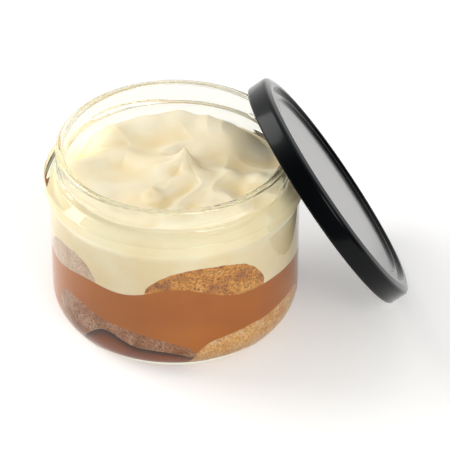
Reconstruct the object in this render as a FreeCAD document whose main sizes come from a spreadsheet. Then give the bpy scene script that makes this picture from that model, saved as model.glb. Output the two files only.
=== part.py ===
import FreeCAD, Part
import math
import os
import Sketcher
from FreeCAD import Placement, Rotation, Vector

# Low twist-off glass jar filled with layered tiramisu, its steel lid leaning on the rim.
# Millimetres, +Z up, origin at the centre of the jar's flat base. The front is -Y, and
# turns round the jar are counted in degrees from the front towards +X.

SIZES = {
    # glass, with the bead and the neck measured down from the rim
    "jar_height": 65,
    "body_radius": 42,
    "body_wall": 2.8,
    "floor_thickness": 4.5,
    "heel_inset": 4.7,
    "heel_rise": 7,
    "heel_low_round": 6,
    "heel_high_round": 13,
    "heel_inner_round": 8,
    "neck_length": 9.4,
    "neck_radius": 39.3,
    "neck_wall": 2.8,
    "neck_root_round": 0.7,
    "shoulder_drop": 1.5,
    "bead_band": 3.6,
    "bead_slope": 3.6,
    "bead_reach": 1.6,
    "bead_round": 0.8,
    "inner_shoulder": 6,
    "inner_round": 4,
    "lip_round": 1.2,
    # thread
    "thread_count": 4,
    "thread_drop": 8,
    "thread_bulge": 1.1,
    "thread_stand": 0.9,
    "thread_curve": 30,
    "thread_sweep": 74,
    "thread_lean": 3,
    "thread_start": 25,
    # lid
    "lid_radius": 43.8,
    "lid_height": 7.9,
    "lid_skin": 0.6,
    "lid_edge_round": 1.5,
    "lid_rim_band": 4.4,
    "lid_ring_band": 3.4,
    "lid_step": 0.8,
    "lid_slope": 0.7,
    "curl_radius": 0.9,
    "lid_lug_count": 4,
    "lid_lug_reach": 3,
    "lid_lug_thickness": 1,
    "lid_lug_drop": 0.5,
    "lid_lug_sweep": 14,
    "lid_turn": 11.9,
    "lid_lean": 32.4,
    "lid_shift": 1.6,
    "lid_gap": 0.1,
    # filling
    "fill_gap": 0.05,
    "cream_drop": 9.6,
    "cream_front_rise": 1.6,
    "fold_rise": 1.9,
    "coffee_line": 25.2,
    "coffee_crown": 3.5,
    "bottom_line": 9.2,
    "bottom_dip": 5,
    "bottom_turn": -20,
    "bottom_spread": 34,
    "bottom_hump": 4.4,
    "bottom_hump_turn": -36,
    "bottom_hump_spread": 11,
    "biscuit_width": 25,
    "biscuit_round": 4.4,
    "biscuit_bite": 3.2,
}

# sponge fingers: length, depth, turn round the jar, height of the top, tilt along the length;
# the lower ones are deep enough to stand on the jar's floor
FINGERS = {
    "lower_biscuit_left": {"length": 49, "depth": 22, "turn": -36, "top": 17.2, "tilt": -12},
    "lower_biscuit_right": {"length": 45, "depth": 22, "turn": 47, "top": 14.4, "tilt": 5},
    "lower_biscuit_back": {"length": 50, "depth": 22, "turn": 172, "top": 15.6, "tilt": 2},
    "upper_biscuit_front": {"length": 37, "depth": 10.8, "turn": 15, "top": 42.8, "tilt": -4},
    "upper_biscuit_left": {"length": 27, "depth": 10.8, "turn": -60, "top": 38.6, "tilt": 3},
    "upper_biscuit_back": {"length": 42, "depth": 10.8, "turn": 165, "top": 40.2, "tilt": -3},
}

doc = FreeCAD.newDocument("tiramisu_jar")
sheet = doc.addObject("Spreadsheet::Sheet", "sizes")


def fill_sheet():
    rows = dict(SIZES)
    for finger, values in FINGERS.items():
        for key, number in values.items():
            rows[f"{finger}_{key}"] = number
    for row, (alias, number) in enumerate(rows.items(), start=1):
        sheet.set(f"A{row}", alias)
        sheet.set(f"B{row}", str(number))
        sheet.setAlias(f"B{row}", alias)
    doc.recompute()


fill_sheet()


def size(alias):
    return float(sheet.get(alias))


# ---------------------------------------------------------------- sums of named sizes
# A sum is written as words, such as "body_radius - body_wall"; an empty sum is zero.

def value_of(terms):
    words = terms.split()
    signs = ["+"] + words[1::2]
    parts = [size(alias) for alias in words[0::2]]
    return sum(part if sign == "+" else -part for sign, part in zip(signs, parts))


def expression_of(terms):
    return " ".join(word if word in "+-" else f"sizes.{word}" for word in terms.split())


# ---------------------------------------------------------------- turned bodies
def origin_plane(body, role):
    return next(item for item in body.Origin.OriginFeatures if item.Role == role)


def turned_body(name, corners):
    """Body of revolution about Z; each corner is a radius and a height, both sums."""
    body = doc.addObject("PartDesign::Body", name)
    sketch = body.newObject("Sketcher::SketchObject", f"{name}_outline")
    sketch.AttachmentSupport = [(origin_plane(body, "XZ_Plane"), "")]
    sketch.MapMode = "FlatFace"
    spots = [Vector(value_of(radius), value_of(height), 0) for radius, height in corners]
    count = len(spots)
    for i in range(count):
        sketch.addGeometry(Part.LineSegment(spots[i], spots[(i + 1) % count]))
    for i, (radius, height) in enumerate(corners):
        sketch.addConstraint(Sketcher.Constraint("Coincident", i, 2, (i + 1) % count, 1))
        pin_corner(sketch, i, "DistanceX", -2, radius, spots[i].x)
        pin_corner(sketch, i, "DistanceY", -1, height, spots[i].y)
    turn = body.newObject("PartDesign::Revolution", f"{name}_turn")
    turn.Profile = sketch
    turn.ReferenceAxis = (sketch, ["V_Axis"])
    turn.Angle = 360
    sketch.Visibility = False
    doc.recompute()
    return body


def pin_corner(sketch, line, kind, zero_axis, terms, number):
    if not terms:
        sketch.addConstraint(Sketcher.Constraint("PointOnObject", line, 1, zero_axis))
        return
    index = sketch.addConstraint(Sketcher.Constraint(kind, -1, 1, line, 1, number))
    sketch.setExpression(f"Constraints[{index}]", expression_of(terms))


def round_ring(body, radius, height, fillet_size):
    """Fillet of the circular edge at a radius and a height, both sums."""
    base = body.Tip
    wanted = Vector(value_of(radius), value_of(height), 0)
    rings = []
    for number, edge in enumerate(base.Shape.Edges, start=1):
        if isinstance(edge.Curve, Part.Circle):
            place = Vector(edge.Curve.Radius, edge.Curve.Center.z, 0)
            if place.distanceToPoint(wanted) < 1e-4:
                rings.append(f"Edge{number}")
    fillet = body.newObject("PartDesign::Fillet", f"{body.Name}_{fillet_size}")
    fillet.Base = (base, rings)
    fillet.setExpression("Radius", f"sizes.{fillet_size}")
    doc.recompute()


# ---------------------------------------------------------------- booleans as objects
def combined(kind, name, pieces):
    result = doc.addObject(kind, name)
    result.Shapes = pieces
    doc.recompute()
    return result


def cut(name, base, tool):
    result = doc.addObject("Part::Cut", name)
    result.Base = base
    result.Tool = tool
    doc.recompute()
    return result


# ---------------------------------------------------------------- glass
NECK_FOOT = "jar_height - neck_length"
BEAD_TOP = f"{NECK_FOOT} - shoulder_drop"
BEAD_LOW = f"{BEAD_TOP} - bead_band"
BEAD_FOOT = f"{BEAD_LOW} - bead_slope"
BEAD_EDGE = "body_radius + bead_reach"
BORE = "neck_radius - neck_wall"
CAVITY = "body_radius - body_wall"
CAVITY_TOP = f"{BEAD_TOP} - inner_shoulder"


def glass_body():
    body = turned_body("glass_turned", [
        ("", ""),
        ("body_radius - heel_inset", ""),
        ("body_radius", "heel_rise"),
        ("body_radius", BEAD_FOOT),
        (BEAD_EDGE, BEAD_LOW),
        (BEAD_EDGE, BEAD_TOP),
        ("neck_radius", NECK_FOOT),
        ("neck_radius", "jar_height"),
        (BORE, "jar_height"),
        (BORE, BEAD_TOP),
        (CAVITY, CAVITY_TOP),
        (CAVITY, "floor_thickness"),
        ("", "floor_thickness"),
    ])
    round_ring(body, "body_radius - heel_inset", "", "heel_low_round")
    round_ring(body, "body_radius", "heel_rise", "heel_high_round")
    round_ring(body, CAVITY, "floor_thickness", "heel_inner_round")
    round_ring(body, CAVITY, CAVITY_TOP, "inner_round")
    round_ring(body, BORE, BEAD_TOP, "inner_round")
    round_ring(body, BEAD_EDGE, BEAD_LOW, "bead_round")
    round_ring(body, BEAD_EDGE, BEAD_TOP, "bead_round")
    round_ring(body, "neck_radius", NECK_FOOT, "neck_root_round")
    round_ring(body, "neck_radius", "jar_height", "lip_round")
    round_ring(body, BORE, "jar_height", "lip_round")
    return body


def thread_lug(number):
    """One low lug: an arc curved tighter than the neck, so that its ends run out in the glass."""
    turned = Rotation(Vector(0, 0, 1), size("thread_start") + number * 360 / size("thread_count"))
    leaned = turned * Rotation(Vector(1, 0, 0), size("thread_lean"))
    out = value_of("neck_radius + thread_stand - thread_bulge - thread_curve")
    centre = Vector(out, 0, value_of("jar_height - thread_drop"))
    lug = doc.addObject("Part::Torus", f"lug_{number}")
    lug.setExpression("Radius1", "sizes.thread_curve")
    lug.setExpression("Radius2", "sizes.thread_bulge")
    lug.setExpression("Angle3", "sizes.thread_sweep")
    half_back = Rotation(Vector(0, 0, 1), -size("thread_sweep") / 2)
    lug.Placement = Placement(turned.multVec(centre), leaned * half_back)
    return lug


def jar_glass():
    pieces = [glass_body()]
    for number in range(int(size("thread_count"))):
        pieces.append(thread_lug(number))
    return combined("Part::MultiFuse", "jar_glass", pieces)


# ---------------------------------------------------------------- lid
# The lid is turned about its own axis, its open edge at zero, then stood on that edge.
LID_BAND = "lid_radius - lid_rim_band"
LID_RING = f"{LID_BAND} - lid_slope - lid_ring_band"
LID_INSIDE = "lid_radius - lid_skin"
LID_UNDER = "lid_height - lid_skin"


def lid_body():
    body = turned_body("lid_turned", [
        (LID_INSIDE, "curl_radius"),
        ("lid_radius", "curl_radius"),
        ("lid_radius", "lid_height"),
        (LID_BAND, "lid_height"),
        (f"{LID_BAND} - lid_slope", "lid_height - lid_step"),
        (LID_RING, "lid_height - lid_step"),
        (f"{LID_RING} - lid_slope", "lid_height - lid_step - lid_step"),
        ("", "lid_height - lid_step - lid_step"),
        ("", f"{LID_UNDER} - lid_step - lid_step"),
        (f"{LID_RING} - lid_slope + lid_skin", f"{LID_UNDER} - lid_step - lid_step"),
        (f"{LID_RING} + lid_skin", f"{LID_UNDER} - lid_step"),
        (f"{LID_BAND} - lid_slope + lid_skin", f"{LID_UNDER} - lid_step"),
        (f"{LID_BAND} + lid_skin", LID_UNDER),
        (LID_INSIDE, LID_UNDER),
    ])
    round_ring(body, "lid_radius", "lid_height", "lid_edge_round")
    return body


def curl():
    ring = doc.addObject("Part::Torus", "curl")
    ring.setExpression("Radius1", "sizes.lid_radius - sizes.curl_radius")
    ring.setExpression("Radius2", "sizes.curl_radius")
    ring.Placement.Base.z = size("curl_radius")
    return ring


def curl_lug(number):
    """Flat tongue folded in from the curl, which catches under a thread lug."""
    discs = []
    for part, reach in (("outer", "curl_radius"), ("inner", "lid_lug_reach")):
        disc = doc.addObject("Part::Cylinder", f"tongue_{number}_{part}")
        disc.setExpression("Radius", f"sizes.lid_radius - sizes.{reach}")
        disc.setExpression("Height", "sizes.lid_lug_thickness")
        disc.setExpression("Angle", "sizes.lid_lug_sweep")
        turn = Rotation(Vector(0, 0, 1), number * 360 / size("lid_lug_count"))
        disc.Placement = Placement(Vector(0, 0, value_of("curl_radius - lid_lug_drop")), turn)
        discs.append(disc)
    return cut(f"tongue_{number}", *discs)


def steel_lid():
    pieces = [lid_body(), curl()]
    for number in range(int(size("lid_lug_count"))):
        pieces.append(curl_lug(number))
    lid = combined("Part::MultiFuse", "lid", pieces)
    lid.Placement = lid_place()
    return lid


def glass_side():
    """The glass from base to neck, as radii and heights."""
    return [(value_of(radius), value_of(height)) for radius, height in (
        ("body_radius - heel_inset", ""),
        ("body_radius", "heel_rise"),
        ("body_radius", BEAD_FOOT),
        (BEAD_EDGE, BEAD_LOW),
        (BEAD_EDGE, BEAD_TOP),
        ("neck_radius", NECK_FOOT),
    )]


def glass_reach(side, height):
    """Outer radius of the glass at a height, lip and thread lugs included."""
    lip = size("lip_round")
    lip_foot = size("jar_height") - lip
    for (low_radius, low), (high_radius, high) in zip(side, side[1:]):
        if height < high:
            return low_radius + (high_radius - low_radius) * (height - low) / (high - low)
    if height < value_of("jar_height - thread_drop") + 2 * size("thread_bulge"):
        return value_of("neck_radius + thread_stand")
    if height < lip_foot:
        return size("neck_radius")
    return size("neck_radius") - lip + math.sqrt(max(lip ** 2 - (height - lip_foot) ** 2, 0))


def lid_sections():
    """Rings of the lid that can meet the glass, as radius and height on the lid's own axis."""
    curl = size("curl_radius")
    sections = []
    for step in range(12):
        angle = math.radians(30 * step)
        sections.append((size("lid_radius") - curl + curl * math.cos(angle),
                         curl + curl * math.sin(angle)))
    for inner, outer, drop in (
        ("lid_skin", f"{LID_RING} - lid_slope + lid_skin", "lid_step + lid_step"),
        (f"{LID_RING} + lid_skin", f"{LID_BAND} - lid_slope + lid_skin", "lid_step"),
        (f"{LID_BAND} + lid_skin", LID_INSIDE, ""),
    ):
        low, high = value_of(inner), value_of(outer)
        under = value_of(LID_UNDER) - value_of(drop)
        sections += [(low + (high - low) * share / 40, under) for share in range(41)]
    return sections


def lid_place():
    """Stands the lid on its edge and slides it in until it meets the glass."""
    turn = math.radians(size("lid_turn"))
    lean = math.radians(size("lid_lean"))
    outward = Vector(math.cos(lean) * math.cos(turn), math.cos(lean) * math.sin(turn), math.sin(lean))
    across = Vector(-math.sin(turn), math.cos(turn), 0)
    upslope = outward.cross(across)
    forward = Vector(math.cos(turn), math.sin(turn), 0)
    curl = size("curl_radius")
    stand = value_of("lid_radius - curl_radius") * upslope.z + curl - curl * outward.z
    centre = Vector(0, 0, stand) - across * size("lid_shift")
    slide = 0
    side = glass_side()
    for radius, height in lid_sections():
        for degree in range(360):
            angle = math.radians(degree)
            rim = across * (radius * math.cos(angle)) + upslope * (radius * math.sin(angle))
            point = centre + outward * height + rim
            reach = glass_reach(side, point.z) + size("lid_gap")
            aside = abs(point.dot(across))
            if point.z < size("jar_height") and aside < reach:
                slide = max(slide, math.sqrt(reach ** 2 - aside ** 2) - point.dot(forward))
    return Placement(centre + forward * slide, Rotation(across, upslope, outward, "ZXY"))


# ---------------------------------------------------------------- filling
def filling():
    """The room inside the glass, less the fill gap, up to the rim."""
    body = turned_body("filling", [
        ("", "floor_thickness + fill_gap"),
        (f"{CAVITY} - fill_gap", "floor_thickness + fill_gap"),
        (f"{CAVITY} - fill_gap", CAVITY_TOP),
        (f"{BORE} - fill_gap", BEAD_TOP),
        (f"{BORE} - fill_gap", "jar_height"),
        ("", "jar_height"),
    ])
    round_ring(body, f"{CAVITY} - fill_gap", "floor_thickness + fill_gap", "heel_inner_round")
    round_ring(body, f"{CAVITY} - fill_gap", CAVITY_TOP, "inner_round")
    round_ring(body, f"{BORE} - fill_gap", BEAD_TOP, "inner_round")
    return body


def bell(offset, spread, power=2):
    return math.exp(-abs(offset / spread) ** power)


def turn_of(x, y):
    return math.degrees(math.atan2(x, -y))


def wall_share(x, y):
    """0 on the jar's axis, 1 at the glass, level at both."""
    share = min(math.hypot(x, y) / value_of(CAVITY), 1)
    return share * share * (3 - 2 * share)


# swells of the coffee layer along the glass: turn, rise in mm, spread in degrees
COFFEE_SWELLS = [(1, 9.4, 24), (-46, 5.6, 23), (50, 2.6, 25)]


def coffee_height(x, y):
    """Top of the thick coffee layer: highest at the front, lower round the sides."""
    share = wall_share(x, y)
    turn = turn_of(x, y)
    swell = sum(rise * bell(turn - middle, spread) for middle, rise, spread in COFFEE_SWELLS)
    return size("coffee_line") + size("coffee_crown") * (1 - share) + swell * share


def bottom_height(x, y):
    """Top of the thin bottom layer: a mound at the front left that runs out to both sides."""
    turn = turn_of(x, y)
    floor = value_of("floor_thickness - bottom_dip")
    layer = size("bottom_line") - floor
    mound = layer * bell(turn - size("bottom_turn"), size("bottom_spread"), 4)
    hump = size("bottom_hump") * bell(turn - size("bottom_hump_turn"), size("bottom_hump_spread"))
    return floor + (mound + hump) * wall_share(x, y)


# mounds and hollows of the spooned top, in shares of the neck's bore: x, y, rise in mm, spread
TOP_MOUNDS = [
    (0.10, 0.01, 3.6, 0.09), (0.10, 0.02, 2.0, 0.24), (-0.20, -0.52, 2.6, 0.08),
    (-0.22, -0.56, 1.0, 0.22), (-0.55, 0.62, 2.6, 0.20), (-0.24, 0.64, 2.4, 0.20),
    (0.08, 0.74, 3.0, 0.22), (0.38, 0.62, 2.4, 0.20), (0.58, 0.36, 2.0, 0.18),
    (0.85, 0.14, -3.0, 0.20), (-0.84, 0.36, -2.6, 0.16), (-0.36, 0.42, -1.4, 0.16),
    (-0.50, -0.14, -1.6, 0.22), (0.40, 0.10, -1.2, 0.14), (0.72, -0.20, -1.6, 0.20),
]
# crest of the long fold, from the left wall to the main peak
TOP_CREST = [(-0.92, 0.02), (-0.60, 0.17), (-0.44, 0.19), (-0.28, 0.08), (-0.05, -0.03)]
FOLD_SPREAD = 0.11
FRONT_SPREAD = 0.7


def crest_distance(x, y):
    spots = [Vector(a, b, 0) for a, b in TOP_CREST]
    here = Vector(x, y, 0)
    lines = [Part.LineSegment(a, b).toShape() for a, b in zip(spots, spots[1:])]
    return min(Part.Vertex(here).distToShape(line)[0] for line in lines)


def top_height(x, y):
    """Spooned top of the pale cream, raised at the front."""
    bore = value_of(BORE)
    u, v = x / bore, y / bore
    height = value_of("jar_height - cream_drop")
    height += size("cream_front_rise") * bell(v + 1, FRONT_SPREAD)
    height += sum(rise * bell(math.hypot(u - a, v - b), spread) for a, b, rise, spread in TOP_MOUNDS)
    return height + size("fold_rise") * bell(crest_distance(u, v), FOLD_SPREAD)


def block_below(name, height_at, cells):
    """Solid below a smooth surface that covers the whole jar."""
    half = value_of("body_radius + bead_reach")
    steps = [-half + 2 * half * i / cells for i in range(cells + 1)]
    surface = Part.BSplineSurface()
    surface.interpolate([[Vector(x, y, height_at(x, y)) for y in steps] for x in steps])
    block = doc.addObject("Part::Feature", name)
    block.Shape = surface.toShape().extrude(Vector(0, 0, -2 * size("jar_height")))
    return block


def finger(name):
    """Round-edged sponge finger lying against the wall at its turn."""
    body = doc.addObject("PartDesign::Body", f"{name}_bar")
    sketch = body.newObject("Sketcher::SketchObject", f"{name}_plan")
    sketch.AttachmentSupport = [(origin_plane(body, "XY_Plane"), "")]
    sketch.MapMode = "FlatFace"
    half, width = size(f"{name}_length") / 2, size("biscuit_width")
    spots = [Vector(-half, 0, 0), Vector(half, 0, 0), Vector(half, width, 0), Vector(-half, width, 0)]
    for i in range(4):
        sketch.addGeometry(Part.LineSegment(spots[i], spots[(i + 1) % 4]))
    for i in range(4):
        sketch.addConstraint(Sketcher.Constraint("Coincident", i, 2, (i + 1) % 4, 1))
    for line, kind in ((1, "Vertical"), (2, "Horizontal"), (3, "Vertical")):
        sketch.addConstraint(Sketcher.Constraint(kind, line))
    sketch.addConstraint(Sketcher.Constraint("PointOnObject", 0, 1, -1))
    sketch.addConstraint(Sketcher.Constraint("Symmetric", 0, 1, 0, 2, -2))
    long = sketch.addConstraint(Sketcher.Constraint("DistanceX", 0, 1, 0, 2, 2 * half))
    sketch.setExpression(f"Constraints[{long}]", f"sizes.{name}_length")
    wide = sketch.addConstraint(Sketcher.Constraint("DistanceY", 1, 1, 1, 2, width))
    sketch.setExpression(f"Constraints[{wide}]", "sizes.biscuit_width")
    pad = body.newObject("PartDesign::Pad", f"{name}_pad")
    pad.Profile = sketch
    pad.setExpression("Length", f"sizes.{name}_depth")
    doc.recompute()
    fillet = body.newObject("PartDesign::Fillet", f"{name}_round")
    fillet.Base = (pad, [f"Edge{i + 1}" for i in range(len(pad.Shape.Edges))])
    fillet.setExpression("Radius", "sizes.biscuit_round")
    body.Placement = finger_place(name)
    doc.recompute()
    return body


def finger_place(name):
    out = value_of(f"{CAVITY} + biscuit_bite")
    low = value_of(f"{name}_top - {name}_depth")
    turned = Rotation(Vector(0, 0, 1), size(f"{name}_turn"))
    tilted = Rotation(Vector(0, 1, 0), -size(f"{name}_tilt"))
    return Placement(turned.multVec(Vector(0, -out, 0)) + Vector(0, 0, low), turned * tilted)


def trimmed(name, piece, inside, tools):
    """What is left of a piece inside the glass once each tool is cut from it."""
    result = combined("Part::MultiCommon", f"{name}_in_glass", [inside, piece])
    for number, tool in enumerate(tools):
        result = cut(f"{name}_cut_{number}", result, tool)
    return result


def food():
    inside = filling()
    under_bottom = block_below("under_bottom", bottom_height, 30)
    under_coffee = block_below("under_coffee", coffee_height, 30)
    under_top = block_below("under_top", top_height, 36)
    bars = {name: finger(name) for name in FINGERS}
    left, right, back = (bars[f"lower_biscuit_{side}"] for side in ("left", "right", "back"))
    uppers = [bar for name, bar in bars.items() if name.startswith("upper")]
    cuts = {
        "lower_biscuit_right": (right, []),
        "lower_biscuit_back": (back, []),
        "bottom_cream": (under_bottom, [right]),
        "lower_biscuit_left": (left, [under_bottom, right]),
        "coffee_cream": (under_coffee, [under_bottom, left, right, back]),
        "upper_biscuit_front": (bars["upper_biscuit_front"], [under_coffee]),
        "upper_biscuit_left": (bars["upper_biscuit_left"], [under_coffee]),
        "upper_biscuit_back": (bars["upper_biscuit_back"], [under_coffee]),
        "pale_cream": (under_top, [under_coffee, *uppers]),
    }
    return {name: trimmed(name, piece, inside, tools) for name, (piece, tools) in cuts.items()}


# ---------------------------------------------------------------- check and export
def check(nodes):
    for item in doc.Objects:
        if "Invalid" in item.State or "Error" in item.State:
            raise RuntimeError(f"{item.Name} failed")
    for name, node in nodes.items():
        if node.Shape.isNull() or not node.Shape.isValid() or len(node.Shape.Solids) != 1:
            raise RuntimeError(f"{name} is not one valid solid: {len(node.Shape.Solids)}")


def export(nodes):
    os.makedirs("parts", exist_ok=True)
    for name, node in nodes.items():
        node.Label = name
        node.Shape.exportStep(f"parts/{name}.step")
        print(f"{name}: {node.Shape.Volume / 1000:.2f} cm3")


nodes = {"jar_glass": jar_glass(), "lid": steel_lid(), **food()}
doc.recompute()
check(nodes)
export(nodes)
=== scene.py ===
import math
import bpy
from mathutils import Matrix, Vector, noise


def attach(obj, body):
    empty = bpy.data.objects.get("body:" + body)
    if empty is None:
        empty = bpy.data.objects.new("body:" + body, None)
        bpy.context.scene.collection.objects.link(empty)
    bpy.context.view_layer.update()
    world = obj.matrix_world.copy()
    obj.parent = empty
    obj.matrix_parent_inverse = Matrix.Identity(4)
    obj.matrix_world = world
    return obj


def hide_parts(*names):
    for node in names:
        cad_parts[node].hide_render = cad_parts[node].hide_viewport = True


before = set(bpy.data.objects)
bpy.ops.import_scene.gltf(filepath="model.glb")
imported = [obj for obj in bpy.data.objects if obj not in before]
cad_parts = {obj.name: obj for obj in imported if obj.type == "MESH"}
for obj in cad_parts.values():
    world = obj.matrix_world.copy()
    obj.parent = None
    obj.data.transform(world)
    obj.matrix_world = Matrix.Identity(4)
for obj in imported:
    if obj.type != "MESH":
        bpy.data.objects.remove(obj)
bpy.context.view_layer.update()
mm = 0.001
noise.seed_set(1)  # vector noise is placed by this seed, and by the clock without it
print("frame loaded")


def linearColour(hexCode):  # sRGB hex to linear
    parts = [int(hexCode[i:i + 2], 16) / 255 for i in (1, 3, 5)]
    parts = [c / 12.92 if c <= 0.04045 else ((c + 0.055) / 1.055) ** 2.4 for c in parts]
    return (*parts, 1.0)


def patternScale(size):  # of a texture whose marks are this many mm across, to the nearest 5
    return 5.0 * round(1 / (size * mm) / 5)


def addNode(tree, kind, values=None, links=None, stops=(), **settings):
    node = tree.nodes.new(kind)
    for key, value in settings.items():
        setattr(node, key, value)
    for socket, value in (values or {}).items():
        node.inputs[socket].default_value = value
    for socket, source in (links or {}).items():
        tree.links.new(source, node.inputs[socket])
    if stops:  # places and colours on a Color Ramp
        elements = node.color_ramp.elements
        while len(elements) < len(stops):
            elements.new(0.5)
        for element, (place, hexCode) in zip(elements, stops):
            element.position = place
            element.color = linearColour(hexCode)
    return node


def newMaterial(name):
    material = bpy.data.materials.new(name)
    material.use_nodes = True
    material.node_tree.nodes.clear()
    return material, material.node_tree


def clearSelection():
    if bpy.context.object and bpy.context.object.mode != "OBJECT":
        bpy.ops.object.mode_set(mode="OBJECT")
    bpy.ops.object.select_all(action="DESELECT")


def arcPoints(before, corner, after, radius, count=8):  # round between two straight runs
    here, back, ahead = Vector(corner), Vector(before), Vector(after)
    one, two = (back - here).normalized(), (ahead - here).normalized()
    half = math.acos(max(-1, min(1, one.dot(two)))) / 2
    reach = radius / math.tan(half)
    middle = here + (one + two).normalized() * radius / math.sin(half)
    start, end = here + one * reach - middle, here + two * reach - middle
    sweep = math.acos(max(-1, min(1, start.normalized().dot(end.normalized()))))
    spots = []
    for i in range(count + 1):
        share = i / count
        spot = (start * math.sin((1 - share) * sweep) + end * math.sin(share * sweep)) / math.sin(sweep)
        spots.append(tuple(middle + spot))
    return spots


def roundedOutline(corners, count=8):  # corners are radius, height and rounding, all in mm
    outline = []
    for i, (radius, height, rounding) in enumerate(corners):
        if rounding and 0 < i < len(corners) - 1:
            outline += arcPoints(corners[i - 1][:2], (radius, height), corners[i + 1][:2], rounding, count)
        else:
            outline.append((radius, height))
    return outline


def finely(outline, step):  # cuts long runs of an outline into short ones
    fine = [outline[0]]
    for (r0, z0), (r1, z1) in zip(outline, outline[1:]):
        cuts = max(1, math.ceil(math.hypot(r1 - r0, z1 - z0) / step))
        fine += [(r0 + (r1 - r0) * i / cuts, z0 + (z1 - z0) * i / cuts) for i in range(1, cuts + 1)]
    return fine


def turnedPiece(name, outline, steps, angle=360, start=0, closed=False):
    # one point, extruded along the outline in the XZ plane and spun round Z
    clearSelection()
    bpy.ops.mesh.primitive_plane_add(size=mm, location=(outline[0][0] * mm, 0, outline[0][1] * mm))
    piece = bpy.context.object
    piece.name = piece.data.name = name
    bpy.ops.object.transform_apply(location=True, rotation=True, scale=True)
    bpy.ops.object.mode_set(mode="EDIT")
    bpy.ops.mesh.select_all(action="SELECT")
    bpy.ops.mesh.merge(type="CENTER")
    run = outline + outline[:1] if closed else outline
    for (r0, z0), (r1, z1) in zip(run, run[1:]):
        move = ((r1 - r0) * mm, 0, (z1 - z0) * mm)
        bpy.ops.mesh.extrude_region_move(TRANSFORM_OT_translate={"value": move})
    bpy.ops.mesh.select_all(action="SELECT")
    bpy.ops.mesh.remove_doubles(threshold=1e-7)
    bpy.ops.mesh.select_all(action="SELECT")
    bpy.ops.mesh.spin(steps=steps, angle=-math.radians(angle), center=(0, 0, 0), axis=(0, 0, 1))
    bpy.ops.mesh.select_all(action="SELECT")
    bpy.ops.mesh.remove_doubles(threshold=1e-6)
    if closed:
        bpy.ops.mesh.select_all(action="DESELECT")
        bpy.ops.mesh.select_non_manifold()
        bpy.ops.mesh.edge_face_add()
    bpy.ops.mesh.select_all(action="SELECT")
    bpy.ops.mesh.normals_make_consistent(inside=False)
    bpy.ops.object.mode_set(mode="OBJECT")
    if start:
        piece.data.transform(Matrix.Rotation(math.radians(start), 4, "Z"))
    return piece


def finishPiece(piece, material, node, smoothAngle=40):
    clearSelection()
    piece.select_set(True)
    bpy.context.view_layer.objects.active = piece
    bpy.ops.object.shade_smooth_by_angle(angle=math.radians(smoothAngle))
    piece.data.materials.clear()
    piece.data.materials.append(material)
    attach(piece, "root")
    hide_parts(node)
    print(piece.name, "made,", len(piece.data.polygons), "faces")


# the glass outside, the room inside it, and the four thread lugs; sizes in mm, turns in degrees
glassJar = {
    "height": 65, "footRadius": 37.3, "footRound": 6, "heelHeight": 7, "heelRound": 13,
    "bodyRadius": 42, "bodyTop": 46.9, "bodyRound": 2,
    "beadRadius": 43.6, "beadFoot": 50.5, "beadTop": 54.1, "beadRound": 0.8,
    "neckFoot": 55.6, "neckRadius": 39.3, "neckRound": 0.7, "lipRound": 1.2,
    "boreRadius": 36.5, "cavityRadius": 39.2, "cavityTop": 48.1, "shoulderRound": 4,
    "floor": 3.4, "floorRound": 7,
    "threadMiddle": 25, "threadHeight": 57, "threadTube": 1.1, "threadStand": 0.9,
    "threadCurve": 30, "threadRise": 3, "threadFoot": 55.2, "threadTop": 62,
    "steps": 300, "neckStep": 0.28, "longestStep": 4,
}


def cavityCorners(proud=0):  # inside of the glass from the lip down, wider by proud
    g = glassJar
    bore, cavity = g["boreRadius"] + proud, g["cavityRadius"] + proud
    return [
        (bore, g["height"], 0), (bore, g["beadTop"], g["shoulderRound"]),
        (cavity, g["cavityTop"], g["shoulderRound"]), (cavity, g["floor"], g["floorRound"]),
        (0, g["floor"], 0),
    ]


def jarCorners():  # outside of the glass from the foot up, over the lip and down inside
    g = glassJar
    return [
        (0, 0, 0), (g["footRadius"], 0, g["footRound"]),
        (g["bodyRadius"], g["heelHeight"], g["heelRound"]),
        (g["bodyRadius"], g["bodyTop"], g["bodyRound"]),
        (g["beadRadius"], g["beadFoot"], g["beadRound"]),
        (g["beadRadius"], g["beadTop"], g["beadRound"]),
        (g["neckRadius"], g["neckFoot"], g["neckRound"]),
        (g["neckRadius"], g["height"], g["lipRound"]), (g["boreRadius"], g["height"], g["lipRound"]),
        *cavityCorners()[1:],
    ]


innerWall = roundedOutline(cavityCorners(), 32)


def wallRadius(height):  # inside radius of the glass at a height
    if height >= innerWall[0][1]:
        return innerWall[0][0]
    for (r0, z0), (r1, z1) in zip(innerWall, innerWall[1:]):
        if z1 <= height <= z0 and z0 > z1:
            return r0 + (r1 - r0) * (z0 - height) / (z0 - z1)
    return glassJar["cavityRadius"] - glassJar["floorRound"]


def threadReach(degrees, height):  # how far the four thread lugs stand out, if they do
    g = glassJar
    offset = (degrees - g["threadMiddle"] + 45) % 90 - 45
    delta = math.radians(offset)
    away = g["neckRadius"] + g["threadStand"] - g["threadTube"] - g["threadCurve"]
    middle = away * math.cos(delta) + math.sqrt(g["threadCurve"] ** 2 - (away * math.sin(delta)) ** 2)
    middleHeight = g["threadHeight"] + math.tan(math.radians(g["threadRise"])) * middle * math.sin(delta)
    side = g["threadTube"] ** 2 - (height - middleHeight) ** 2
    return middle + math.sqrt(side) if side > 0 else 0


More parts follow.
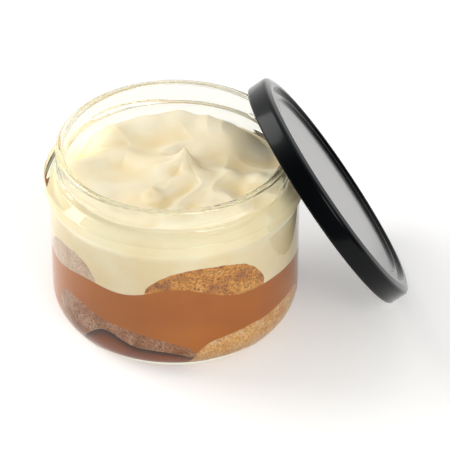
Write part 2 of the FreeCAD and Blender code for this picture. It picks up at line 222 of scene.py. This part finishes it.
def makeJarGlass():
    g = glassJar
    outline = roundedOutline(jarCorners(), 12)
    neck = [i for i, (r, z) in enumerate(outline) if r > g["neckRadius"] - 0.05 and z > g["neckFoot"]]
    low, high = neck[0], neck[-1]
    outline = outline[:low] + finely(outline[low:high + 1], g["neckStep"]) + outline[high + 1:]
    piece = turnedPiece("jarGlass", finely(outline, g["longestStep"]), g["steps"])
    for vertex in piece.data.vertices:
        x, y, z = (c / mm for c in vertex.co)
        radius = math.hypot(x, y)
        if g["threadFoot"] < z < g["threadTop"] and radius > g["neckRadius"] - g["neckRound"]:
            reach = threadReach(math.degrees(math.atan2(y, x)), z)
            if reach > radius:
                vertex.co.x *= reach / radius
                vertex.co.y *= reach / radius
    return piece


# soda-lime jar glass, pressed and fire polished: clear and hard, olive only where it is thick
def jarGlassMaterial():
    material, tree = newMaterial("sodaLimeGlass")
    path = addNode(tree, "ShaderNodeLightPath")
    coords = addNode(tree, "ShaderNodeTexCoord")
    smear = addNode(tree, "ShaderNodeTexNoise", {"Scale": patternScale(11), "Detail": 2.0},
                    {"Vector": coords.outputs["Object"]})  # faint finger marks
    polish = addNode(tree, "ShaderNodeMapRange", {"To Min": 0.0, "To Max": 0.03},
                     {"Value": smear.outputs["Fac"]})
    glass = addNode(tree, "ShaderNodeBsdfPrincipled",
                    {"Base Color": linearColour("#FDFDFA"), "IOR": 1.5, "Specular IOR Level": 0.12,
                     "Transmission Weight": 1.0},
                    {"Roughness": polish.outputs[0]})
    clear = addNode(tree, "ShaderNodeBsdfTransparent", {"Color": linearColour("#FAFAF6")})
    mixed = addNode(tree, "ShaderNodeMixShader", None,
                    {0: path.outputs["Is Shadow Ray"], 1: glass.outputs[0], 2: clear.outputs[0]})
    tint = addNode(tree, "ShaderNodeVolumeAbsorption",
                   {"Color": linearColour("#DFE4C0"), "Density": 14.0})
    addNode(tree, "ShaderNodeOutputMaterial", None,
            {"Surface": mixed.outputs[0], "Volume": tint.outputs[0]})
    return material


def bell(offset, spread, power=2):
    return math.exp(-abs(offset / spread) ** power)


def turnOf(x, y):  # degrees round the jar from the front towards +X
    return math.degrees(math.atan2(x, -y))


def wallShare(x, y):  # eased from 0 on the jar's axis to 1 at the glass
    share = min(math.hypot(x, y) / glassJar["cavityRadius"], 1)
    return share * share * (3 - 2 * share)


# the thick brown layer; its swells along the glass are turn in degrees, rise in mm, spread in degrees
coffeeLayer = {
    "line": 25.2, "crown": 3.5, "foot": 3.3, "proud": 0.11, "steps": 240, "rings": 30, "sides": 40,
    "swells": [(1, 9.4, 24), (-46, 5.6, 23), (50, 2.6, 25), (-90, 3.2, 18)],
}


def coffeeHeight(x, y):
    c, share, turn = coffeeLayer, wallShare(x, y), turnOf(x, y)
    swell = sum(rise * bell(turn - middle, spread) for middle, rise, spread in c["swells"])
    return c["line"] + c["crown"] * (1 - share) + swell * share


# the thin dark layer: a wedge along the glass from the left to just past the front
bottomLayer = {
    "line": -0.5, "rise": 9.7, "turn": -20, "spread": 34, "hump": 4.4, "humpTurn": -36,
    "humpSpread": 11, "start": -150, "sweep": 78, "inner": 20, "outer": 39, "foot": 3.2,
    "thinnest": 3.9, "proud": 0.34, "steps": 60, "rows": 14, "levels": 24, "backLevels": 3,
}


def bottomHeight(x, y):
    b, turn = bottomLayer, turnOf(x, y)
    mound = b["rise"] * bell(turn - b["turn"], b["spread"], 4)
    hump = b["hump"] * bell(turn - b["humpTurn"], b["humpSpread"])
    return b["line"] + (mound + hump) * wallShare(x, y)


# the spooned top; places are shares of the neck's bore, heights are mm
topCream = {
    "drop": 9.6, "frontRise": 1.6, "frontSpread": 0.7, "foldRise": 1.9, "foldSpread": 0.11,
    "peak": (0.1, 0.01), "streaks": 3.5, "streakTwist": 1.5, "streakRise": 0.5,
    "streakPlace": 0.2, "streakSpread": 0.16, "waveRise": 2.5, "lumpRise": 0.5,
    "backFall": 5.0, "backSpread": 0.15, "proud": 0.05, "steps": 400, "rings": 150, "sides": 40,
    "sink": 0.6, "hollowReach": 4, "hollowFoot": 48, "hollowEdge": 36,
    "mounds": [  # place across, place back, rise, spread
        (0.10, 0.01, 3.6, 0.09), (0.10, 0.02, 2.0, 0.24), (-0.20, -0.52, 2.6, 0.08),
        (-0.22, -0.56, 1.0, 0.22), (-0.55, 0.62, 2.6, 0.20), (-0.24, 0.64, 2.4, 0.20),
        (0.08, 0.74, 3.0, 0.22), (0.38, 0.62, 2.4, 0.20), (0.58, 0.36, 2.0, 0.18),
        (0.85, 0.14, -3.0, 0.20), (-0.84, 0.36, -2.6, 0.16), (-0.36, 0.42, -1.4, 0.16),
        (-0.50, -0.14, -1.6, 0.22), (0.40, 0.10, -1.2, 0.14), (0.72, -0.20, -1.6, 0.20),
        (0.10, 0.01, 1.8, 0.04), (-0.20, -0.54, 1.6, 0.04), (-0.02, -0.10, -1.4, 0.09),
        (0.60, 0.16, -3.4, 0.20), (0.60, -0.34, -2.4, 0.16), (-0.10, -0.64, -1.4, 0.10),
        (0.52, -0.10, 1.4, 0.09), (0.76, -0.12, 1.6, 0.09), (-0.62, -0.30, 0.9, 0.10),
    ],
    "crest": [(-0.92, 0.02), (-0.60, 0.17), (-0.44, 0.19), (-0.28, 0.08), (-0.05, -0.03)],
}


def crestDistance(u, v):  # from a place on the top to the long fold
    best = math.inf
    here = Vector((u, v))
    for a, b in zip(topCream["crest"], topCream["crest"][1:]):
        start, run = Vector(a), Vector(b) - Vector(a)
        share = max(0, min(1, (here - start).dot(run) / run.length_squared))
        best = min(best, (here - start - run * share).length)
    return best


def topHeight(x, y):
    t = topCream
    u, v = x / glassJar["boreRadius"], y / glassJar["boreRadius"]
    height = glassJar["height"] - t["drop"] + t["frontRise"] * bell(v + 1, t["frontSpread"])
    height += sum(rise * bell(math.hypot(u - a, v - b), spread) for a, b, rise, spread in t["mounds"])
    height += t["foldRise"] * bell(crestDistance(u, v), t["foldSpread"])
    # drag lines of the spoon round the main peak
    across, back = u - t["peak"][0], v - t["peak"][1]
    away, spin = math.hypot(across, back), math.atan2(back, across)
    streak = abs(math.sin(t["streaks"] * spin + t["streakTwist"] * away + 0.5)) ** 0.7 - 0.6
    height += t["streakRise"] * streak * bell(away - t["streakPlace"], t["streakSpread"])
    # creases where slow noise passes zero, then small lumps
    bend = noise.noise(Vector((u * 1.5 + 4, v * 1.5, 7.3)))
    crease = abs(noise.noise(Vector((u * 2.2 + bend, v * 2.2 - bend, 3.1))))
    height += t["waveRise"] * (0.25 - crease)
    height += t["lumpRise"] * noise.noise(Vector((u * 4.6, v * 4.6, 8.4)))
    # behind the humps the cream falls away to the glass
    nearGlass = bell(min(math.hypot(u, v) - 1.04, 0), t["backSpread"])
    height -= t["backFall"] * nearGlass * max(0, min(1, (v + 0.05) / 0.5))
    return height


def layerPiece(name, topAt, bottomAt, layer):
    # a spun drum of even rings, its points then moved to the heights of the layer
    drum, underRings, nearWall = 100, 12, 38
    rings, sides, proud = layer["rings"], layer["sides"], layer["proud"]
    top = [(i / rings, 1.0) for i in range(rings + 1)]
    side = [(1.0, 1 - i / sides) for i in range(1, sides + 1)]
    under = [(1 - i / underRings, 0.0) for i in range(1, underRings + 1)]
    piece = turnedPiece(name, [(r * drum, z * drum) for r, z in top + side + under], layer["steps"])
    for vertex in piece.data.vertices:
        x, y, level = (c / mm / drum for c in vertex.co)
        share = math.hypot(x, y)
        ux, uy = (x / share, y / share) if share > 1e-6 else (1, 0)
        if level > 0.999 or level < 0.001:
            heightAt = topAt if level > 0.5 else bottomAt
            radius = (wallRadius(heightAt(ux * nearWall, uy * nearWall)) + proud) * share
            height = heightAt(ux * radius, uy * radius)
        else:
            high, low = topAt(ux * nearWall, uy * nearWall), bottomAt(ux * nearWall, uy * nearWall)
            height = low + (high - low) * level
            radius = wallRadius(height) + proud
        vertex.co = (ux * radius * mm, uy * radius * mm, height * mm)
    return piece


def makeBottomCream():
    b, drum = bottomLayer, 100
    rows, reach = b["rows"], b["outer"] - b["inner"]
    outline = [(b["inner"] + reach * i / rows, 1.0) for i in range(rows + 1)]
    outline += [(b["outer"], 1 - i / b["levels"]) for i in range(1, b["levels"] + 1)]
    outline += [(b["outer"] - reach * i / rows, 0.0) for i in range(1, rows + 1)]
    outline += [(b["inner"], i / b["backLevels"]) for i in range(1, b["backLevels"])]
    piece = turnedPiece("bottomCream", [(r, z * drum) for r, z in outline], b["steps"],
                        angle=b["sweep"], start=b["start"], closed=True)
    depth = piece.data.attributes.new("level", "FLOAT", "POINT")  # 0 at the floor, 1 on top
    for vertex in piece.data.vertices:
        x, y, level = vertex.co.x / mm, vertex.co.y / mm, vertex.co.z / mm / drum
        depth.data[vertex.index].value = level
        length = math.hypot(x, y)
        share, ux, uy = (length - b["inner"]) / reach, x / length, y / length
        extra = max(bottomHeight(ux * b["outer"], uy * b["outer"]) - b["thinnest"], 0)
        high = b["thinnest"] + extra * max(share, 0) ** 0.5
        height = b["foot"] + (high - b["foot"]) * level
        radius = b["inner"] + (wallRadius(height) + b["proud"] - b["inner"]) * share
        vertex.co = (ux * radius * mm, uy * radius * mm, height * mm)
    return piece


def markHollowShade(piece):  # how far the top lies below its surroundings, where a deeper golden ivory is painted as shade
    t = topCream
    reach = t["hollowReach"]
    hollowShade = piece.data.attributes.new("hollowShade", "FLOAT", "POINT")
    for vertex in piece.data.vertices:
        x, y, z = (c / mm for c in vertex.co)
        if z > t["hollowFoot"] and math.hypot(x, y) < t["hollowEdge"]:
            ring = [topHeight(x + reach * a, y + reach * b) for a, b in ((1, 0), (-1, 0), (0, 1), (0, -1))]
            hollowShade.data[vertex.index].value = sum(ring) / 4 - z


# sponge fingers: length, depth and top in mm, turn round the jar and tilt in degrees
biscuits = {
    "lowerBiscuitLeft": {
        "node": "lower_biscuit_left", "length": 49, "depth": 22, "turn": -36, "top": 17.2,
        "tilt": -12, "proud": 0.22, "crown": 1.5, "seed": 1.0,
        "crumb": [(0.3, "#9C5C20"), (0.48, "#C89470"), (0.7, "#E4C2A4")], "pores": "#7E4622"},
    "lowerBiscuitRight": {
        "node": "lower_biscuit_right", "length": 45, "depth": 22, "turn": 47, "top": 14.4,
        "tilt": 5, "proud": 0.46, "crown": 1.5, "seed": 2.0,
        "crumb": [(0.3, "#ECA858"), (0.5, "#FFD08C"), (0.7, "#FFE6BC")], "pores": "#CC863C"},
    "lowerBiscuitBack": {
        "node": "lower_biscuit_back", "length": 50, "depth": 22, "turn": 172, "top": 15.6,
        "tilt": 2, "proud": 0.14, "crown": 1.5, "seed": 3.0,
        "crumb": [(0.3, "#8C6A5E"), (0.5, "#C89A60"), (0.7, "#DDB27A")], "pores": "#6E4A3C"},
    "upperBiscuitFront": {
        "node": "upper_biscuit_front", "length": 39, "depth": 17, "turn": 15, "top": 42.8,
        "tilt": -4, "proud": 0.08, "crown": 8.5, "seed": 4.0,
        "crumb": [(0.35, "#B87C4C"), (0.5, "#F0AA4C"), (0.7, "#FCCB7C")], "pores": "#985420"},
    "upperBiscuitLeft": {
        "node": "upper_biscuit_left", "length": 27, "depth": 15, "turn": -60, "top": 38.6,
        "tilt": 3, "proud": 0.08, "crown": 6, "seed": 5.0,
        "crumb": [(0.3, "#DCBAA0"), (0.5, "#EBD4C0"), (0.7, "#F2E4CE")], "pores": "#C8A286"},
    "upperBiscuitBack": {
        "node": "upper_biscuit_back", "length": 42, "depth": 10.8, "turn": 165, "top": 40.2,
        "tilt": -3, "proud": 0.08, "crown": 1.5, "seed": 6.0,
        "crumb": [(0.3, "#A08070"), (0.5, "#C8965A"), (0.7, "#D9A75A")], "pores": "#7A5030"},
}
biscuitForm = {
    "width": 25, "rounding": 4.4, "outside": 42.4, "face": 0.9, "unevenness": 0.9, "slowSize": 9,
    "fastSize": 2.6, "fastShare": 0.35, "crownPower": 2.7,
}


def makeBiscuit(name):
    b, form = biscuits[name], biscuitForm
    clearSelection()
    bpy.ops.mesh.primitive_cube_add(size=1, location=(0, form["width"] / 2 * mm, b["depth"] / 2 * mm))
    piece = bpy.context.object
    piece.name = piece.data.name = name
    piece.scale = (b["length"] * mm, form["width"] * mm, b["depth"] * mm)
    bpy.ops.object.transform_apply(location=True, rotation=True, scale=True)
    bpy.ops.object.mode_set(mode="EDIT")
    bpy.ops.mesh.select_all(action="SELECT")
    bpy.ops.mesh.bevel(offset=form["rounding"] * mm, segments=5, affect="EDGES")
    bpy.ops.object.mode_set(mode="OBJECT")
    remesh = piece.modifiers.new("evenFaces", "REMESH")
    remesh.mode = "VOXEL"
    remesh.voxel_size = form["face"] * mm
    bpy.ops.object.modifier_apply(modifier="evenFaces")
    offset = Vector((b["seed"] * 7.3, b["seed"] * 3.1, b["seed"] * 5.7))
    for vertex in piece.data.vertices:  # rounded along its length, with the uneven outline of soaked sponge
        along = abs(vertex.co.x / (b["length"] / 2 * mm))
        up = max(vertex.co.z / (b["depth"] * mm), 0)
        vertex.co.z -= b["crown"] * along ** form["crownPower"] * up * mm
        slow = noise.noise_vector(vertex.co / (form["slowSize"] * mm) + offset)
        fast = noise.noise_vector(vertex.co / (form["fastSize"] * mm) + offset)
        vertex.co += (slow + fast * form["fastShare"]) * form["unevenness"] * mm
    out, low = form["outside"], b["top"] - b["depth"]
    turn = Matrix.Rotation(math.radians(b["turn"]), 4, "Z")
    tilt = Matrix.Rotation(math.radians(-b["tilt"]), 4, "Y")
    piece.data.transform(turn @ Matrix.Translation((0, -out * mm, low * mm)) @ tilt)
    # only what lies inside the glass stays
    room = [(0, glassJar["height"] - 1)] + roundedOutline(cavityCorners(b["proud"]), 16)
    inside = turnedPiece("room", room, 160)
    clearSelection()
    piece.select_set(True)
    bpy.context.view_layer.objects.active = piece
    cut = piece.modifiers.new("insideGlass", "BOOLEAN")
    cut.operation, cut.solver, cut.object = "INTERSECT", "EXACT", inside
    bpy.ops.object.modifier_apply(modifier="insideGlass")
    bpy.data.objects.remove(inside)
    return piece


# drawn cap; each ring of its panel is a radius, a drop below the top and a rounding, in mm
steelCap = {
    "radius": 43.8, "height": 7.9, "skin": 0.6, "curl": 0.9, "curlStart": 70.5, "curlSteps": 20,
    "skirtFoot": 1.75, "shoulderDrop": 0.9, "shoulderRound": 1.4, "innerRound": 0.7,
    "underside": [(0, 2.2, 0), (35.2, 2.2, 0.4), (35.9, 1.4, 0.4), (39.3, 1.4, 0.4), (40.0, 0.6, 0.4)],
    "topside": [(41.0, 0, 0.9), (39.4, 0, 0.35), (38.7, 1.2, 0.3), (35.3, 0.7, 0.35), (34.6, 1.6, 0.35),
                (0, 1.6, 0)],
    "turn": 11.9, "lean": 32.4, "middle": (49.342, 8.763, 36.640), "steps": 192, "longestStep": 6,
    "tongues": 4, "tongueReach": 3, "tongueSweep": 14, "tongueFoot": 0.4, "tongueTop": 1.4,
    "tongueSteps": 8,
}


def makeSteelLid():
    c = steelCap
    r, h, curl, skin = c["radius"], c["height"], c["curl"], c["skin"]
    under = roundedOutline([(ring, h - drop, rounding) for ring, drop, rounding in c["underside"]]
                           + [(r - skin, h - skin, c["innerRound"]), (r - skin, c["skirtFoot"], 0)])
    bead = []
    for i in range(1, c["curlSteps"] + 1):
        angle = math.radians(c["curlStart"] + (360 - c["curlStart"]) * i / c["curlSteps"])
        bead.append((r - curl + curl * math.cos(angle), curl + curl * math.sin(angle)))
    top = roundedOutline([(r, curl, 0), (r, h - c["shoulderDrop"], c["shoulderRound"])]
                         + [(ring, h - drop, rounding) for ring, drop, rounding in c["topside"]])
    outline = finely(under, c["longestStep"]) + bead + finely(top, c["longestStep"])[1:]
    piece = turnedPiece("steelLid", outline, c["steps"])
    tongues = []
    tongue = [(r - curl, c["tongueTop"]), (r - curl, c["tongueFoot"]),
              (r - c["tongueReach"], c["tongueFoot"]), (r - c["tongueReach"], c["tongueTop"])]
    for i in range(c["tongues"]):
        tongues.append(turnedPiece(f"tongue{i}", tongue, c["tongueSteps"], angle=c["tongueSweep"],
                                   start=i * 360 / c["tongues"], closed=True))
    clearSelection()
    for part in [*tongues, piece]:
        part.select_set(True)
    bpy.context.view_layer.objects.active = piece
    bpy.ops.object.join()
    turn, lean = math.radians(c["turn"]), math.radians(c["lean"])
    outward = Vector((math.cos(lean) * math.cos(turn), math.cos(lean) * math.sin(turn), math.sin(lean)))
    across = Vector((-math.sin(turn), math.cos(turn), 0))
    place = Matrix((across, outward.cross(across), outward)).transposed().to_4x4()
    place.translation = Vector(c["middle"]) * mm
    piece.data.transform(place)
    return piece


# tinplate cap, drawn and stoved with black lacquer: near black from the front, mirrors at a graze
def blackLacquerMaterial():
    material, tree = newMaterial("blackLacquerTinplate")
    coords = addNode(tree, "ShaderNodeTexCoord")
    peel = addNode(tree, "ShaderNodeTexNoise", {"Scale": patternScale(1.11), "Detail": 2.0},
                   {"Vector": coords.outputs["Object"]})  # faint orange peel
    bump = addNode(tree, "ShaderNodeBump", {"Strength": 0.06, "Distance": 0.0001},
                   {"Height": peel.outputs["Fac"]})
    lacquer = addNode(tree, "ShaderNodeBsdfPrincipled",
                      {"Base Color": linearColour("#050709"), "Roughness": 0.3, "IOR": 1.5,
                       "Specular IOR Level": 0.08, "Coat Weight": 1.0, "Coat Roughness": 0.12,
                       "Coat IOR": 1.15},
                      {"Normal": bump.outputs["Normal"], "Coat Normal": bump.outputs["Normal"]})
    addNode(tree, "ShaderNodeOutputMaterial", None, {"Surface": lacquer.outputs[0]})
    return material


# whipped mascarpone: ivory, dense and soft, a little light goes in and comes out warmer
def paleCreamMaterial():
    material, tree = newMaterial("whippedMascarpone")
    coords = addNode(tree, "ShaderNodeTexCoord")
    cloud = addNode(tree, "ShaderNodeTexNoise", {"Scale": patternScale(14), "Detail": 3.0},
                    {"Vector": coords.outputs["Object"]})
    ivory = addNode(tree, "ShaderNodeValToRGB", None, {"Fac": cloud.outputs["Fac"]},
                    stops=[(0.35, "#F6E4BC"), (0.65, "#FCF0D2")])
    hollowShade = addNode(tree, "ShaderNodeAttribute", attribute_name="hollowShade")
    depth = addNode(tree, "ShaderNodeMapRange", {"From Min": 0.05, "From Max": 0.9},
                    {"Value": hollowShade.outputs["Fac"]})
    # painted shade: the deeper a hollow of the top, the more its ivory is mixed towards golden #EED8A6,
    # standing in for the shade in the folds
    colour = addNode(tree, "ShaderNodeMix", {7: linearColour("#EED8A6")},
                     {0: depth.outputs[0], 6: ivory.outputs["Color"]}, data_type="RGBA")
    grain = addNode(tree, "ShaderNodeTexNoise", {"Scale": patternScale(0.833), "Detail": 4.0},
                    {"Vector": coords.outputs["Object"]})
    bump = addNode(tree, "ShaderNodeBump", {"Strength": 0.12, "Distance": 0.0003},
                   {"Height": grain.outputs["Fac"]})
    cream = addNode(tree, "ShaderNodeBsdfPrincipled",
                    {"Roughness": 0.42, "Specular IOR Level": 0.3, "Subsurface Weight": 0.25,
                     "Subsurface Radius": (1.0, 0.75, 0.45), "Subsurface Scale": 0.0012},
                    {"Base Color": colour.outputs[2], "Normal": bump.outputs["Normal"]})
    addNode(tree, "ShaderNodeOutputMaterial", None, {"Surface": cream.outputs[0]})
    return material


# coffee cream, smooth and moist against the glass
def coffeeCreamMaterial(name, dark, light, seed, topShadowColour=None):
    material, tree = newMaterial(name)
    coords = addNode(tree, "ShaderNodeTexCoord")
    move = addNode(tree, "ShaderNodeMapping", {"Location": (seed, seed, 0), "Scale": (1, 1, 2.2)},
                   {"Vector": coords.outputs["Object"]})
    cloud = addNode(tree, "ShaderNodeTexNoise", {"Scale": patternScale(22), "Detail": 3.0},
                    {"Vector": move.outputs[0]})  # patches, flatter than wide
    colour = addNode(tree, "ShaderNodeValToRGB", None, {"Fac": cloud.outputs["Fac"]},
                     stops=[(0.3, dark), (0.7, light)]).outputs["Color"]
    if topShadowColour:  # the top of the layer is painted nearly black, as the shadow under the biscuits
        level = addNode(tree, "ShaderNodeAttribute", attribute_name="level")
        edge = addNode(tree, "ShaderNodeMapRange", {"From Min": 0.55, "From Max": 0.95},
                       {"Value": level.outputs["Fac"]})
        colour = addNode(tree, "ShaderNodeMix", {7: linearColour(topShadowColour)},
                         {0: edge.outputs[0], 6: colour}, data_type="RGBA").outputs[2]
    grain = addNode(tree, "ShaderNodeTexNoise", {"Scale": patternScale(1.11), "Detail": 3.0},
                    {"Vector": coords.outputs["Object"]})
    bump = addNode(tree, "ShaderNodeBump", {"Strength": 0.1, "Distance": 0.0003},
                   {"Height": grain.outputs["Fac"]})
    cream = addNode(tree, "ShaderNodeBsdfPrincipled",
                    {"Roughness": 0.5, "Specular IOR Level": 0.05, "Subsurface Weight": 0.1,
                     "Subsurface Radius": (1.0, 0.5, 0.25), "Subsurface Scale": 0.0015},
                    {"Base Color": colour, "Normal": bump.outputs["Normal"]})
    addNode(tree, "ShaderNodeOutputMaterial", None, {"Surface": cream.outputs[0]})
    return material


# soaked sponge: open crumb with small dark pores, sugar-gold where dry and mauve where wet
def crumbMaterial(name, stops, poreColour, seed):
    material, tree = newMaterial(name)
    coords = addNode(tree, "ShaderNodeTexCoord")
    move = addNode(tree, "ShaderNodeMapping", {"Location": (seed, 0, seed)},
                   {"Vector": coords.outputs["Object"]})
    patch = addNode(tree, "ShaderNodeTexNoise",
                    {"Scale": patternScale(5.9), "Detail": 5.0, "Roughness": 0.6},
                    {"Vector": move.outputs[0]})
    tone = addNode(tree, "ShaderNodeValToRGB", None, {"Fac": patch.outputs["Fac"]}, stops=stops)
    pores = addNode(tree, "ShaderNodeTexNoise",
                    {"Scale": patternScale(0.77), "Detail": 4.0, "Roughness": 0.7},
                    {"Vector": move.outputs[0]})
    shape = addNode(tree, "ShaderNodeMapRange", {"From Min": 0.36, "From Max": 0.56},
                    {"Value": pores.outputs["Fac"]})
    colour = addNode(tree, "ShaderNodeMix", {6: linearColour(poreColour)},
                     {0: shape.outputs[0], 7: tone.outputs["Color"]}, data_type="RGBA")
    bump = addNode(tree, "ShaderNodeBump", {"Strength": 0.5, "Distance": 0.0005},
                   {"Height": shape.outputs[0]})
    crumb = addNode(tree, "ShaderNodeBsdfPrincipled", {"Roughness": 0.75, "Specular IOR Level": 0.05},
                    {"Base Color": colour.outputs[2], "Normal": bump.outputs["Normal"]})
    addNode(tree, "ShaderNodeOutputMaterial", None, {"Surface": crumb.outputs[0]})
    return material


finishPiece(makeJarGlass(), jarGlassMaterial(), "jar_glass", 30)
palePiece = layerPiece("paleCream", topHeight, lambda x, y: coffeeHeight(x, y) - topCream["sink"], topCream)
markHollowShade(palePiece)
finishPiece(palePiece, paleCreamMaterial(), "pale_cream")
coffeePiece = layerPiece("coffeeCream", coffeeHeight, lambda x, y: coffeeLayer["foot"], coffeeLayer)
finishPiece(coffeePiece, coffeeCreamMaterial("coffeeMascarpone", "#B4640A", "#C27214", 0.0),
            "coffee_cream")
# the bottom layer's top edge carries a painted shadow, near black #2E0E04, where the biscuits above shade it
soakedCreamWithShadow = coffeeCreamMaterial("soakedCoffeeCreamShadowedTop", "#8E4406", "#A6540A", 0.3, "#2E0E04")
finishPiece(makeBottomCream(), soakedCreamWithShadow, "bottom_cream")
for biscuitName, biscuit in biscuits.items():
    crumb = crumbMaterial(f"{biscuitName}Crumb", biscuit["crumb"], biscuit["pores"], biscuit["seed"])
    finishPiece(makeBiscuit(biscuitName), crumb, biscuit["node"])
finishPiece(makeSteelLid(), blackLacquerMaterial(), "lid", 35)

# table, light and camera; places and sizes in metres
studio = {
    "floorSize": 2.6, "floorPlace": (0, 1.0, 0), "floorColour": "#F4F3F1", "floorGlow": 0.3,
    "worldLevel": 0.42, "darkSide": (-0.3, 0.2), "darkest": 0.04,
    "keyPower": 6.4, "keyPlace": (-0.75, 0.35, 0.7), "keySize": 0.6,
    "fillPower": 4.6, "fillPlace": (0.4, -0.85, 0.6), "fillSize": 0.5, "lampAim": (0, 0, 0.03),
    "cameraPlace": (0, -0.8031, 0.6208), "cameraAim": (0.0170, 0.8060, -0.5916), "lens": 235.7,
}
white = linearColour("#FFFFFF")


def makeFloor():  # a painted table that also glows a little to the eye, in mirrors and through glass
    clearSelection()
    bpy.ops.mesh.primitive_plane_add(size=studio["floorSize"], location=studio["floorPlace"])
    floor = bpy.context.object
    floor.name = "studioFloor"
    material, tree = newMaterial("paintedTable")
    paint = addNode(tree, "ShaderNodeBsdfDiffuse", {"Color": linearColour(studio["floorColour"])})
    path = addNode(tree, "ShaderNodeLightPath")
    direct = addNode(tree, "ShaderNodeMath", None, {0: path.outputs["Is Camera Ray"],
                                                    1: path.outputs["Is Glossy Ray"]}, operation="MAXIMUM")
    seen = addNode(tree, "ShaderNodeMath", None, {0: direct.outputs[0],
                                                  1: path.outputs["Is Transmission Ray"]}, operation="MAXIMUM")
    level = addNode(tree, "ShaderNodeMath", {1: studio["floorGlow"]}, {0: seen.outputs[0]},
                    operation="MULTIPLY")
    glow = addNode(tree, "ShaderNodeEmission", {"Color": white}, {"Strength": level.outputs[0]})
    whole = addNode(tree, "ShaderNodeAddShader", None, {0: paint.outputs[0], 1: glow.outputs[0]})
    addNode(tree, "ShaderNodeOutputMaterial", None, {"Surface": whole.outputs[0]})
    floor.data.materials.append(material)


def makeWorld():  # white to the eye, even and dimmer as light, dark towards the front in mirrors and glass
    world = bpy.data.worlds.new("whiteStudio")
    bpy.context.scene.world = world
    world.use_nodes = True
    tree = world.node_tree
    tree.nodes.clear()
    path = addNode(tree, "ShaderNodeLightPath")
    mirrored = addNode(tree, "ShaderNodeMath", None, {0: path.outputs["Is Glossy Ray"],
                                                      1: path.outputs["Is Transmission Ray"]},
                       operation="MAXIMUM")
    coords = addNode(tree, "ShaderNodeTexCoord")
    split = addNode(tree, "ShaderNodeSeparateXYZ", None, {0: coords.outputs["Generated"]})
    low, high = studio["darkSide"]
    back = addNode(tree, "ShaderNodeMapRange",
                   {"From Min": low, "From Max": high, "To Min": studio["darkest"], "To Max": 1.0},
                   {"Value": split.outputs["Y"]})
    even = addNode(tree, "ShaderNodeBackground", {"Color": white, "Strength": studio["worldLevel"]})
    graded = addNode(tree, "ShaderNodeBackground", {"Color": white}, {"Strength": back.outputs[0]})
    plain = addNode(tree, "ShaderNodeBackground", {"Color": white, "Strength": 1.0})
    unseen = addNode(tree, "ShaderNodeMixShader", None,
                     {0: mirrored.outputs[0], 1: even.outputs[0], 2: graded.outputs[0]})
    whole = addNode(tree, "ShaderNodeMixShader", None,
                    {0: path.outputs["Is Camera Ray"], 1: unseen.outputs[0], 2: plain.outputs[0]})
    addNode(tree, "ShaderNodeOutputWorld", None, {"Surface": whole.outputs[0]})


def makeLamp(name):
    bpy.ops.object.light_add(type="AREA", location=studio[f"{name}Place"])
    lamp = bpy.context.object
    lamp.name = f"{name}Lamp"
    lamp.data.energy = studio[f"{name}Power"]
    lamp.data.size = studio[f"{name}Size"]
    lamp.rotation_euler = (Vector(studio["lampAim"]) - lamp.location).to_track_quat("-Z", "Y").to_euler()


makeFloor()
makeWorld()
makeLamp("key")
makeLamp("fill")
bpy.ops.object.camera_add(location=studio["cameraPlace"])
camera = bpy.context.object
camera.data.lens = studio["lens"]
camera.data.sensor_width = 36
camera.data.clip_start, camera.data.clip_end = 0.01, 50
camera.rotation_euler = Vector(studio["cameraAim"]).to_track_quat("-Z", "Y").to_euler()
bpy.context.scene.camera = camera
bpy.context.scene.view_settings.view_transform = "Standard"
print("studio ready")
